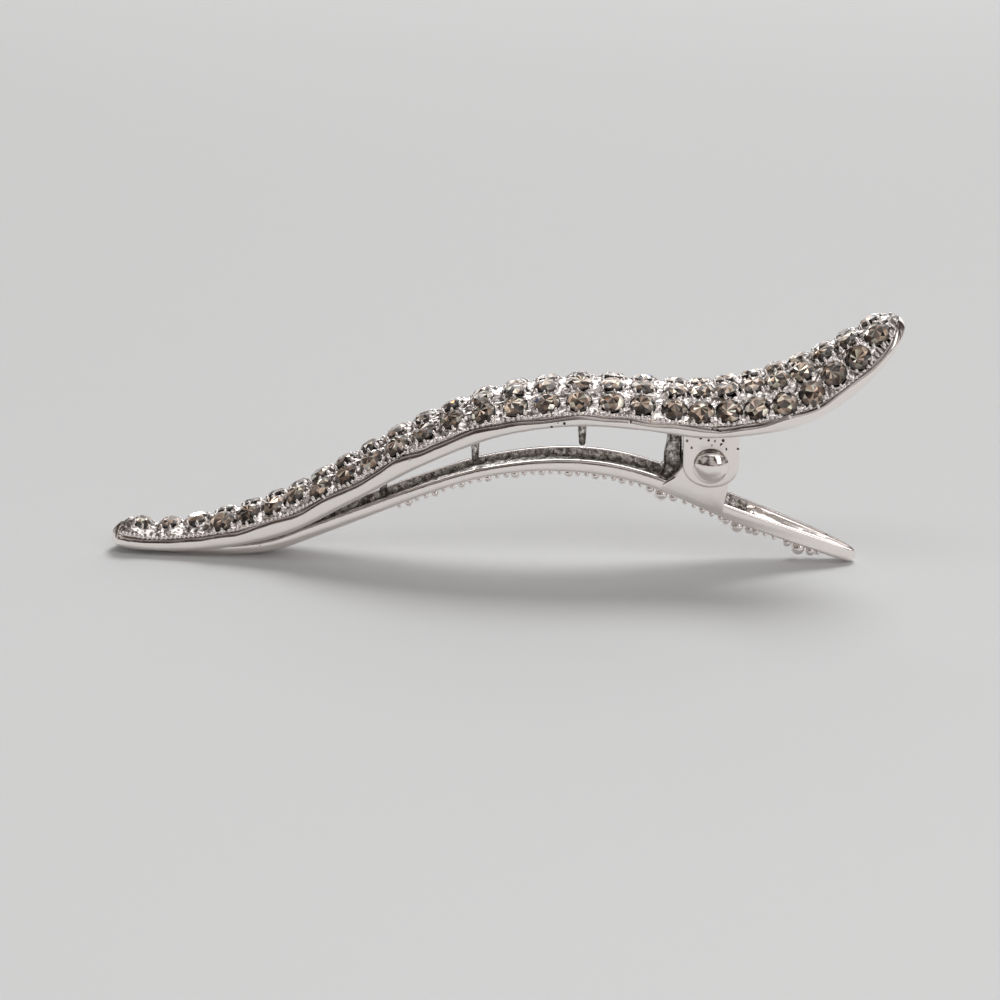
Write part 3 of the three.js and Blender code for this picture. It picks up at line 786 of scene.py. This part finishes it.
def polar_outline(points):
    """Distance from the hinge to an outline, as a function of the angle round the hinge."""
    dense = []
    for (x0, z0), (x1, z1) in zip(points, points[1:] + points[:1]):
        for t in np.linspace(0, 1, 24, endpoint=False):
            dense.append((x0 + (x1 - x0) * t, z0 + (z1 - z0) * t))
    x, z = np.array(dense).T
    angles = np.arctan2(z, x)
    order = np.argsort(angles)
    reach = np.hypot(x, z)
    return lambda turn: np.interp(turn, angles[order], reach[order], period=2 * np.pi)


PITTED = (1.4, 3.6)  # heights between which an ear has casting pits
ROUGH_EAR_RINGS = (9, 10)


def ear(piece, outline, outside, side):
    """A plate round the hinge with a hole and worn edges. Its outline has one reach per angle."""
    reach_at = polar_outline(outline)
    turns = np.linspace(0, 2 * np.pi, 144, endpoint=False)
    reach = reach_at(turns)
    inside = outside - EAR_THICKNESS
    lip = 0.06
    hole = np.full_like(reach, HOLE_RADIUS)
    rings = [
        (hole, outside - lip), (hole + lip, outside), (hole + 0.45 * (reach - hole), outside),
        (reach - 0.26, outside), (reach - 0.1, outside - 0.03), (reach - 0.02, outside - 0.12),
        (reach, outside - 0.26), (reach, inside + 0.14), (reach - 0.05, inside + 0.03),
        (reach - 0.16, inside), (hole + 0.5 * (reach - hole), inside), (hole + lip, inside),
        (hole, inside + lip),
    ]
    points = np.stack([
        np.stack([radius * np.cos(turns), np.full_like(turns, side * y), radius * np.sin(turns)],
                 axis=-1) for radius, y in rings], axis=1)
    faces = loop_faces(len(turns), len(rings), len(turns))
    if side > 0:
        faces = [face[::-1] for face in faces]
    is_rough = [column in ROUGH_EAR_RINGS for column in range(len(rings))]
    over_head = (points[..., 2] > PITTED[0]) & (points[..., 2] < PITTED[1])
    piece.add(points, faces, np.array(is_rough * len(turns), int), pitting=over_head.ravel())


def arc(radius_x, radius_z, start, end, steps):
    angles = np.radians(np.linspace(start, end, steps))
    return [(radius_x * math.cos(angle), radius_z * math.sin(angle)) for angle in angles]


def upper_ear_outline():
    """A rounded tab that hangs from the shell. Its top is inside the shell."""
    flare = 0.35
    half = UPPER_EAR_HALF_LENGTH
    return [
        (half + flare, UPPER_EAR_TOP), (-half - flare, UPPER_EAR_TOP), (-half - 0.08, 3.6),
        (-half, 2.6), *arc(half, UPPER_EAR_DROP, 180, 360, 40), (half, 2.6), (half + 0.08, 3.6),
    ]


def lathe(piece, outline, steps, centre, axes, slot=0, rough=0.0):
    """A closed turned shape: its outline is radius and height along the last axis."""
    turns = np.linspace(0, 2 * np.pi, steps, endpoint=False)
    ring = np.stack([np.cos(turns), np.sin(turns)], axis=-1)
    points = []
    for radius, height in outline:
        flat = ring * max(radius, 0.001)
        points.append(centre + flat @ np.asarray(axes[:2]) + np.asarray(axes[2]) * height)
    points = np.array(points)
    if rough:
        points = points + ripple(points, 0.5, rough)[..., None] * unit(points - centre)
    faces = [face[::-1] for face in tube_faces(len(outline), steps)]
    piece.add(points, faces, slot)


def shell_roof(x):
    """Height of the shell's inner surface over the middle of the jaw, at some x."""
    origin, _, _, up = upper_spine.frames(upper_spine.length_at(x), upper_roll)
    return origin[2] + (upper_height(x) - SHELL_WALL) / up[2]


TOOTH_ROOT_DEPTH = 0.38  # of a tooth's root in the shell
TOOTH_TIP_LENGTH = 0.22


def tooth(piece, x, tip):
    root = float(shell_roof(x)) + TOOTH_ROOT_DEPTH
    shoulder = tip + TOOTH_TIP_LENGTH
    outline = [(0, tip), (0.2, tip + 0.03), (TOOTH_TIP_RADIUS, shoulder)]
    for share in (0.3, 0.6, 0.85, 1):
        radius = TOOTH_TIP_RADIUS + (TOOTH_RADIUS - TOOTH_TIP_RADIUS) * share**0.6
        outline.append((radius, shoulder + (root - shoulder) * share))
    outline.append((0, root))
    centre = np.array([x, 0, 0])
    lathe(piece, outline, 24, centre, [(1, 0, 0), (0, 1, 0), (0, 0, 1)], slot=1, rough=0.05)


def post(piece):
    """A rough web ahead of the spring, with a waist and a foot that flares to the nose."""
    heights = np.linspace(POST["bottom"], POST["top"], 70)
    turns = np.linspace(0, 2 * np.pi, 56, endpoint=False)
    share = (heights - POST["bottom"]) / (POST["top"] - POST["bottom"])
    flare = np.clip(1 - (heights - POST["bottom"]) / POST_FOOT["height"], 0, 1) ** 1.5
    front = POST["front"] + (POST_FOOT["front"] - POST["front"]) * flare
    front += 0.35 * np.exp(-((share - 0.5) / 0.16) ** 2)
    middle = (front + POST["back"]) / 2
    half_length = (POST["back"] - front) / 2
    ends = np.clip(np.minimum(share, 1 - share) / 0.03, 0.15, 1) ** 0.5
    square = 0.35
    wide = np.sign(np.cos(turns)) * np.abs(np.cos(turns)) ** square
    deep = np.sign(np.sin(turns)) * np.abs(np.sin(turns)) ** square
    points = np.stack([
        middle[:, None] + (half_length * ends)[:, None] * wide,
        POST["half_width"] * ends[:, None] * deep,
        np.broadcast_to(heights[:, None], (len(heights), len(turns))),
    ], axis=-1)
    streaks = points * (1, 1, 0.3)
    points[..., :2] += ripple(streaks, 0.45, 0.12)[..., None]
    faces = [face[::-1] for face in tube_faces(len(heights), len(turns))]
    # darker streaks down the post
    piece.add(points, faces, 1, np.clip(0.5 + ripple(streaks, 0.4, 1.2), 0, 1).ravel())


def upper_jaw(rows, plate, cast):
    piece = Piece()
    shell(piece, rows)
    prongs(piece, rows)
    milgrain(piece)
    for side in (-1, 1):
        ear(piece, upper_ear_outline(), UPPER_EAR_OUTSIDE, side)
    post(piece)
    for x, tip in TEETH:
        tooth(piece, x, tip)
    return piece.build("upper_jaw_casting", [plate, cast], 50)


# ---------------------------------------------------------------- lower jaw

FLOOR_COLUMNS = 13
ROUGH_UNTIL = 3.6  # x, past which the inside of the thumb grip is scooped and polished
# One side of the channel's outline, from its underside up: inset from the side, share of the
# height and millimetres over that.
CHANNEL_CORNER = [(0.5, 0, 0), (0.2, 0, 0.03), (0.06, 0, 0.13), (0, 0, 0.3), (0, 1, -0.16),
                  (0.05, 1, -0.04), (0.14, 1, 0)]


def channel(piece):
    lengths = tip_lengths(lower_spine, 0.2)
    origin, _, across, up = lower_spine.frames(lengths)
    x = origin[:, 0]
    half_width = lower_half_width(x)
    height = lower_height(x)
    small = np.minimum(1, half_width / 1.6)
    wall = np.minimum(CHANNEL_WALL, MOST_WALL_SHARE * half_width)
    floor = np.minimum(CHANNEL_FLOOR, height / 2)
    half = []
    for inset, share, lift in CHANNEL_CORNER:
        half.append((half_width - inset * small, share * height + lift * small))
    half.append((half_width - wall + 0.08 * small, height - 0.01))
    half.append((half_width - wall, height - 0.12 * small))
    scoop = np.clip((x - ROUGH_UNTIL) / 1.5, 0, 1) * (height - floor - 0.3 * small)
    half.append((half_width - wall, floor + 0.18 * small + 0.9 * scoop))
    foot = half_width - wall - 0.2 * small
    inner = [(foot * share, floor + scoop * abs(share) ** 2)
             for share in np.linspace(1, -1, FLOOR_COLUMNS)]
    right = half
    left = [(-a, b) for a, b in reversed(half)]
    outline = np.stack([np.stack(point, axis=-1) for point in [*right, *inner, *left]], axis=1)

    shrink = tip_shrink(lengths, lower_spine.length)[:, None]
    middle = (height / 2)[:, None]
    out = outline[..., 0] * shrink
    high = middle + (outline[..., 1] - middle) * shrink
    points = origin[:, None] + across[:, None] * out[..., None] + up[:, None] * high[..., None]
    first = len(half)
    inside = points[:, first : first + FLOOR_COLUMNS]
    grain = np.where(x < ROUGH_UNTIL, 0.16, 0.02)[:, None] * shrink
    inside += up[:, None] * (ripple(inside, 0.6, 1) * grain)[..., None]
    points[..., 2] = np.maximum(points[..., 2], TABLE)

    columns = outline.shape[1]
    rough = [first - 2 <= column < first + FLOOR_COLUMNS for column in range(columns)]
    slots = (x[:-1, None] < ROUGH_UNTIL) & np.array(rough)
    slots = np.append(slots.ravel(), [False, False])
    faces = [face[::-1] for face in tube_faces(len(lengths), columns)]
    piece.add(points, faces, np.array(slots, int))


def lower_ear_outline():
    """From the channel's wall up to a round eye, and steeply down to the thumb grip."""
    eye = arc(LOWER_EAR_RADIUS, LOWER_EAR_RADIUS, 155, -35, 60)
    bend = [np.array(point) for point in ((-5.0, -2.2), (-3.4, -1.6), eye[0])]
    curve = []
    for t in np.linspace(0, 0.95, 12):
        point = bend[0] * (1 - t) ** 2 + bend[1] * 2 * t * (1 - t) + bend[2] * t**2
        curve.append(tuple(point))
    return [*curve, *eye, (1.5, -4.7), (1.5, -5.6), (-1.5, -4.4), (-5.2, -2.8)]


def relief(piece):
    """Clusters of big beads along both edges, with small ones between and leaves on a vine."""
    def lump(x, across, radii, turn=0.0, drop=0.25):
        origin, along, side, up = lower_spine.frames(lower_spine.length_at(x))
        axes = [along * math.cos(turn) + side * math.sin(turn),
                side * math.cos(turn) - along * math.sin(turn), up]
        add_ball(piece, origin + side * across - up * drop * radii[2], axes, radii)

    for x in BLOSSOMS:
        for side in (-1, 1):
            middle = side * (float(lower_half_width(x)) - 0.75)
            lump(x, middle, (BLOSSOM_RADIUS, 0.9 * BLOSSOM_RADIUS, BLOSSOM_RADIUS), drop=0.55)
            for petal in (-1.25, 1.25):
                lump(x + petal, middle, (0.5, 0.5, 0.55), drop=0.4)
    bead_count = int((RELIEF_BEADS["to"] - RELIEF_BEADS["from"]) / RELIEF_BEADS["pitch"])
    for i in range(bead_count + 1):
        x = RELIEF_BEADS["from"] + i * RELIEF_BEADS["pitch"]
        if any(abs(blossom - x) < BLOSSOM_REACH for blossom in BLOSSOMS):
            continue
        radius = RELIEF_BEADS["radius"] * (1 if i % 3 == 1 else 0.6) * random.uniform(0.85, 1.15)
        middle = float(lower_half_width(x)) - 1.1 * radius
        for side in (-1, 1):
            lump(x, side * middle, (radius, radius, 1.1 * radius))
        turn = 0.7 if i % 2 else -0.7
        lump(x, 0.35 * (1 if i % 2 else -1), (0.65, 0.26, 0.3), turn, drop=0)


VINE_RADIUS = 0.2
VINE_SWAY = 0.4
VINE_HALF_WAVE = 1.45


def vine(piece):
    """A thin wavy stem down the middle of the underside."""
    x = np.linspace(RELIEF_BEADS["from"] - 1, RELIEF_BEADS["to"], 260)
    origin, _, across, up = lower_spine.frames(lower_spine.length_at(x))
    sway = VINE_SWAY * np.sin(x * np.pi / VINE_HALF_WAVE)
    middle = origin + across * sway[:, None] + up * 0.02
    turns = np.linspace(0, 2 * np.pi, 10, endpoint=False)
    points = (middle[:, None] + VINE_RADIUS * across[:, None] * np.cos(turns)[:, None]
              + VINE_RADIUS * up[:, None] * np.sin(turns)[:, None])
    faces = [face[::-1] for face in tube_faces(len(x), len(turns))]
    piece.add(points, faces)


def lower_jaw(plate, cast):
    piece = Piece()
    channel(piece)
    for side in (-1, 1):
        ear(piece, lower_ear_outline(), LOWER_EAR_OUTSIDE, side)
    relief(piece)
    vine(piece)
    for points in piece.points:
        points[:, 2] = np.maximum(points[:, 2], TABLE)
    return piece.build("lower_jaw_casting", [plate, cast], 50)


# ---------------------------------------------------------------- hinge


def hinge_rivet(plate):
    """A pin with a domed head on each end. Each head has a thin neck against its ear."""
    sphere = (HEAD_RADIUS**2 + HEAD_HEIGHT**2) / (2 * HEAD_HEIGHT)
    span = math.asin(HEAD_RADIUS / sphere)
    dome = []
    for share in np.linspace(1, 0, 22):
        angle = span * share
        height = HEAD_SEAT + HEAD_HEIGHT - sphere * (1 - math.cos(angle))
        dome.append((sphere * math.sin(angle), height))
    neck_radius = HEAD_RADIUS - 0.12
    neck = [(PIN_RADIUS, UPPER_EAR_OUTSIDE + 0.02), (neck_radius, UPPER_EAR_OUTSIDE + 0.02),
            (neck_radius, HEAD_SEAT - 0.03), (HEAD_RADIUS - 0.03, HEAD_SEAT - 0.03)]
    half = [*neck, *dome]
    whole = [(radius, -height) for radius, height in reversed(half)] + half
    piece = Piece()
    lathe(piece, whole, 72, np.zeros(3), [(0, 0, 1), (1, 0, 0), (0, 1, 0)])
    return piece.build("hinge_rivet_turned", [plate], 50)


def spring_path():
    """The wire's centre line: a leg along the lower floor, the coil and a leg under the shell."""
    start = math.radians(FLOOR_LEG_ANGLE - 90)
    end = math.radians(GRIP_LEG_ANGLE + 90)
    sweep = end - 2 * math.pi * (COIL_WHOLE_TURNS + 1) - start

    def coil(share):
        angle = start + sweep * share
        return np.array([COIL_RADIUS * math.cos(angle), COIL_LENGTH * (share - 0.5),
                         COIL_RADIUS * math.sin(angle)])

    def leg(point, degrees, length):
        angle = math.radians(degrees)
        way = np.array([math.cos(angle), 0, math.sin(angle)])
        return [point + length * t * way for t in np.linspace(0.05, 1, 16)]

    floor_leg = leg(coil(0), FLOOR_LEG_ANGLE, FLOOR_LEG_LENGTH)
    turns = [coil(share) for share in np.linspace(0, 1, 260)]
    grip_leg = leg(coil(1), GRIP_LEG_ANGLE, GRIP_LEG_LENGTH)
    return np.array([*reversed(floor_leg), *turns, *grip_leg])


def torsion_spring(wire):
    path = spring_path()
    along = unit(np.gradient(path, axis=0))
    side = unit(np.cross(along, np.array([0.0, 1.0, 0.0])))
    other = np.cross(along, side)
    turns = np.linspace(0, 2 * np.pi, 16, endpoint=False)
    ends = np.ones(len(path))
    ends[[0, -1]] = 0.6
    ring = (side[:, None] * np.cos(turns)[:, None] + other[:, None] * np.sin(turns)[:, None])
    points = path[:, None] + WIRE_RADIUS * ends[:, None, None] * ring
    piece = Piece()
    piece.add(points, [face[::-1] for face in tube_faces(len(path), len(turns))])
    return piece.build("torsion_spring_wire", [wire], 50)


# ---------------------------------------------------------------- stones

# A facet's colour, and how often it comes up: smoky glass with painted reflection of the foil, from
# dark to pale. The last two are rare painted flashes of fire.
PAINTED_FACET_REFLECTIONS = [
    ((0.022, 0.014, 0.01), 4.2), ((0.11, 0.072, 0.054), 3.4), ((0.32, 0.225, 0.165), 3),
    ((0.64, 0.47, 0.35), 2.6), ((1, 0.8, 0.62), 2.2), ((1, 0.76, 0.66), 1.5),
    ((0.95, 0.33, 0.05), 0.05), ((0.25, 0.3, 0.7), 0.02),
]


TABLE_RADIUS = 0.58  # of the stone's own radius, as for the stars
STAR_RADIUS = 0.8
GIRDLE_THICKNESS = 0.24
CULET_HEIGHT = -0.22
# The first of a stone's points in each ring.
CORNER, EDGE, STAR, GIRDLE, FOOT, CULET = 1, 9, 17, 25, 41, 57
GIRDLE_SHADE = 0.16  # painted shade: a stone is darkest at its girdle, where the metal hides the foil
MOST_OFF_CENTRE = 0.3  # of a stone's radius, between its middle and where its facets seem to meet


def stone_shape():
    """Points and facets of one stone of radius one. Heights are in millimetres."""
    def ring(count, radius, height, turn=0.0):
        angles = [2 * math.pi * (i + turn) / count for i in range(count)]
        return [(radius * math.cos(a), radius * math.sin(a), height) for a in angles]

    edge_radius = TABLE_RADIUS * math.cos(math.pi / 8)
    slope = (TABLE_HEIGHT - GIRDLE_HEIGHT) / (1 - TABLE_RADIUS)
    star_height = TABLE_HEIGHT - slope * (STAR_RADIUS - edge_radius) * 0.92
    points = [
        (0, 0, TABLE_HEIGHT), *ring(8, TABLE_RADIUS, TABLE_HEIGHT),
        *ring(8, edge_radius, TABLE_HEIGHT, 0.5), *ring(8, STAR_RADIUS, star_height, 0.5),
        *ring(16, 1, GIRDLE_HEIGHT), *ring(16, 1, GIRDLE_HEIGHT - GIRDLE_THICKNESS),
        (0, 0, CULET_HEIGHT),
    ]
    facets = []
    for i in range(8):
        corner, edge, star = CORNER + i, EDGE + i, STAR + i
        next_corner = CORNER + (i + 1) % 8
        last_star = STAR + (i - 1) % 8
        left, right, far = [GIRDLE + (2 * i + step) % 16 for step in range(3)]
        facets.append([(0, corner, edge)])
        facets.append([(0, edge, next_corner)])
        facets.append([(corner, star, edge), (edge, star, next_corner)])
        facets.append([(corner, last_star, left), (corner, left, star)])
        facets.append([(star, left, right)])
        facets.append([(star, right, far)])
    for i in range(16):
        after = (i + 1) % 16
        facets.append([(GIRDLE + i, FOOT + i, FOOT + after, GIRDLE + after)])
        facets.append([(FOOT + i, CULET, FOOT + after)])
    return np.array(points), facets


def stone_row(number, stones, material):
    shape, facets = stone_shape()
    colours, weights = zip(*PAINTED_FACET_REFLECTIONS)
    piece = Piece()
    painted_reflections = []
    behind = []
    for stone in stones:
        along, across, up = stone["axes"]
        turn = random.uniform(0, math.pi / 4)
        tilt = unit(up + along * random.uniform(-0.07, 0.07) + across * random.uniform(-0.07, 0.07))
        first = unit(along * math.cos(turn) + across * math.sin(turn))
        second = unit(np.cross(tilt, first))
        first = np.cross(second, tilt)
        size = STONE_RADIUS * stone["size"]
        heart = random.uniform(0, 2 * math.pi)
        off = MOST_OFF_CENTRE * math.sqrt(random.random())
        cut = shape.copy()
        cut[0, :2] = (off * math.cos(heart), off * math.sin(heart))
        points = (stone["centre"] + (cut[:, :1] * first + cut[:, 1:2] * second) * size
                  + cut[:, 2:] * tilt)
        faces = []
        for facet in facets:
            # painted reflection: each facet's colour and brightness stand in for the light its foil
            # sends back
            painted_reflection = random.choices(colours, weights)[0]
            shade = random.uniform(0.75, 1.45)
            spin = random.uniform(0, 2 * math.pi)
            lean = math.tan(math.radians(random.uniform(6, 42)))
            inner = unit(tilt + lean * (first * math.cos(spin) + second * math.sin(spin)))
            for face in facet:
                faces.append(face)
                behind.extend([inner] * len(face))
                for point in face:
                    light = shade * (GIRDLE_SHADE if point >= GIRDLE else 1)
                    painted_reflections.append((*[min(1, part * light) for part in painted_reflection], 1))
        piece.add(points, faces)
    gem = piece.build("stones_row_%02d" % number, [material])
    set_attribute(gem.data, "painted_reflection", ("FLOAT_COLOR", "CORNER"), "color", painted_reflections)
    set_attribute(gem.data, "behind", ("FLOAT_VECTOR", "CORNER"), "vector", behind)
    return gem


# ---------------------------------------------------------------- stage


def point_at(item, target):
    direction = Vector(target) - item.location
    item.rotation_euler = direction.to_track_quat("-Z", "Y").to_euler()


def lamp(name, kind, power, place, target):
    light = bpy.data.lights.new(name, kind)
    light.energy = power
    item = new_object(name, light)
    item.location = place
    point_at(item, target)
    return item


def softbox(name, place, size, power, target, lights=True, reflected=True):
    """A rectangular light. Place and size are in metres from its target."""
    item = lamp(name, "AREA", power, Vector(target) + Vector(place), target)
    item.data.shape = "RECTANGLE"
    item.data.size, item.data.size_y = size
    item.visible_diffuse = lights
    item.visible_glossy = reflected


def sun(place, softness_degrees, strength):
    """An even light from one side, too far away to fall off across the floor."""
    item = lamp("sun", "SUN", strength, place, (0, 0, 0))
    item.data.angle = math.radians(softness_degrees)
    item.visible_glossy = False


def floor(height):
    shape = bmesh.new()
    bmesh.ops.create_grid(shape, x_segments=8, y_segments=8, size=3)
    mesh = bpy.data.meshes.new("floor")
    shape.to_mesh(mesh)
    shape.free()
    mesh.materials.append(matt_floor())
    plane = new_object("floor", mesh)
    plane.location.z = height


def room():
    """A dim warm room with paler patches, seen only in reflections and as a faint fill."""
    world = bpy.data.worlds.new("room")
    world.use_nodes = True
    tree = world.node_tree
    place = tree.nodes.new("ShaderNodeTexCoord")
    patches = tree.nodes.new("ShaderNodeTexNoise")
    ramp = tree.nodes.new("ShaderNodeValToRGB")
    tree.links.new(place.outputs["Generated"], patches.inputs["Vector"])
    tree.links.new(patches.outputs["Fac"], ramp.inputs["Fac"])
    tree.links.new(ramp.outputs["Color"], tree.nodes["Background"].inputs["Color"])
    patches.inputs["Scale"].default_value = 2.6
    patches.inputs["Detail"].default_value = 1
    dark, pale = ramp.color_ramp.elements
    dark.position = 0.44
    dark.color = rgb(0.05, 0.036, 0.03)
    pale.position = 0.6
    pale.color = rgb(0.42, 0.395, 0.38)
    bpy.context.scene.world = world


CAMERA_DISTANCE = 0.30345
CAMERA_AZIMUTH = 3
CAMERA_ELEVATION = 18
CAMERA_LENS = 102.1
AIM_FROM_MIDDLE = Vector((-0.00007, -0.00058, -0.00734))


def camera(middle):
    azimuth = math.radians(CAMERA_AZIMUTH)
    elevation = math.radians(CAMERA_ELEVATION)
    away = Vector((math.sin(azimuth) * math.cos(elevation),
                   -math.cos(azimuth) * math.cos(elevation), math.sin(elevation)))
    lens = bpy.data.cameras.new("camera")
    lens.lens = CAMERA_LENS
    lens.sensor_width = 36
    lens.clip_start = 0.01
    eye = new_object("camera", lens)
    target = middle + AIM_FROM_MIDDLE
    eye.location = target + away * CAMERA_DISTANCE
    point_at(eye, target)
    bpy.context.scene.camera = eye


def studio():
    low, high = CAD_BOX
    middle = (low + high) / 2
    floor(low.z)
    room()
    sun((0.27, 0.72, 1.05), 27, 1.75)
    softbox("back", (0.15, 0.75, 0.33), (1.2, 0.5), 1.9, middle)
    softbox("strip", (0.05, 0.76, 0.25), (0.9, 0.08), 0.8, middle, lights=False)
    softbox("sky", (0.05, 0.12, 0.6), (0.8, 0.5), 0.37, middle, lights=False)
    softbox("top", (-0.05, -0.16, 0.42), (0.5, 0.2), 0.3, middle)
    softbox("window", (0.27, -0.24, 0.2), (0.16, 0.32), 0.2, middle)
    softbox("gleam", (0.21, 0.17, 0.45), (0.24, 0.18), 0.17, middle, lights=False)
    softbox("crown", (0.03, 0.44, 0.5), (0.24, 0.13), 0.34, middle, lights=False)
    softbox("front", (0.15, -0.6, 0.5), (0.7, 0.2), 0.7, Vector((middle.x, -0.4, low.z)),
            reflected=False)
    camera(middle)
    bpy.context.scene.view_settings.view_transform = "Standard"


# ---------------------------------------------------------------- assembly


def hand_over(piece, node, body):
    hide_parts(node)
    if body:
        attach(piece, body)


plate = polished_plate()
cast = rough_cast()
gem = foiled_stone()
rows = stone_places()

hand_over(upper_jaw(rows, plate, cast), "upper_jaw", "upper")
hand_over(lower_jaw(plate, cast), "lower_jaw", "lower")
hand_over(hinge_rivet(plate), "hinge_rivet", "upper")

spring = torsion_spring(spring_wire())
hand_over(spring, "torsion_spring", None)
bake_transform(spring)

for number, stones in enumerate(rows, start=1):
    hand_over(stone_row(number, stones, gem), "stone_row_%02d" % number, "upper")

studio()
